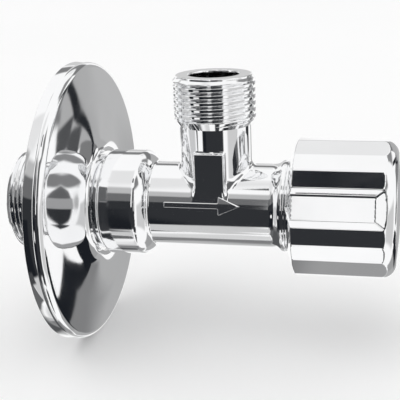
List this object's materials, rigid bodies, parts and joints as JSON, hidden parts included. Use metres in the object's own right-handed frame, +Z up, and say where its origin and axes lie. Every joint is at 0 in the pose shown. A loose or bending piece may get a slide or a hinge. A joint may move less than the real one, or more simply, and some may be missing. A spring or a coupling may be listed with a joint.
{
  "type": "angle valve",
  "caption": "Chrome-plated angle valve with a threaded wall inlet, a round wall flange, a threaded side outlet at a right angle and a fluted screw-down handle.",
  "frame": {"origin": "on the inlet axis in the plane of the finished wall", "axes": "+X along the inlet axis from the wall to the handle, +Z up along the outlet axis, -Y is the front with one of the flats"},
  "size_m": [0.0806, 0.0586, 0.0586],
  "materials": {
    "chrome_body": "polished chrome on forged brass",
    "chrome_flange": "polished chrome on pressed brass sheet",
    "chrome_handle": "polished chrome on a zinc casting",
    "brass": "turned",
    "steel": "zinc plated",
    "seal_rubber": "matt",
    "gasket_fibre": "matt red fibre",
    "nylon": "natural"
  },
  "bodies": {
    "valve": {"valve_body": "chrome_body", "escutcheon": "chrome_flange", "bonnet": "brass", "bonnet_gasket": "gasket_fibre"},
    "handle": {"handle": "chrome_handle", "handle_insert": "nylon", "handle_screw": "steel", "screw_washer": "steel", "handle_plug": "chrome_handle", "spindle": "brass", "slide_ring": "nylon", "spindle_o_ring_inner": "seal_rubber", "spindle_o_ring_outer": "seal_rubber", "circlip": "steel"},
    "plunger": {"plunger": "brass", "plunger_o_ring": "seal_rubber", "seat_washer": "seal_rubber", "washer_plate": "steel", "washer_screw": "steel"}
  },
  "joints": [
    {"name": "handle_turn", "type": "hinge", "parent": "valve", "child": "handle", "pos_m": [0.05, 0, 0], "axis": [1, 0, 0], "range_deg": [0, 900]},
    {"name": "plunger_lift", "type": "slide", "parent": "valve", "child": "plunger", "axis": [1, 0, 0], "range_m": [0, 0.004]}
  ],
  "couplings": [
    {"joint": "plunger_lift", "follows": "handle_turn", "m_per_rad": 0.0002546}
  ]
}
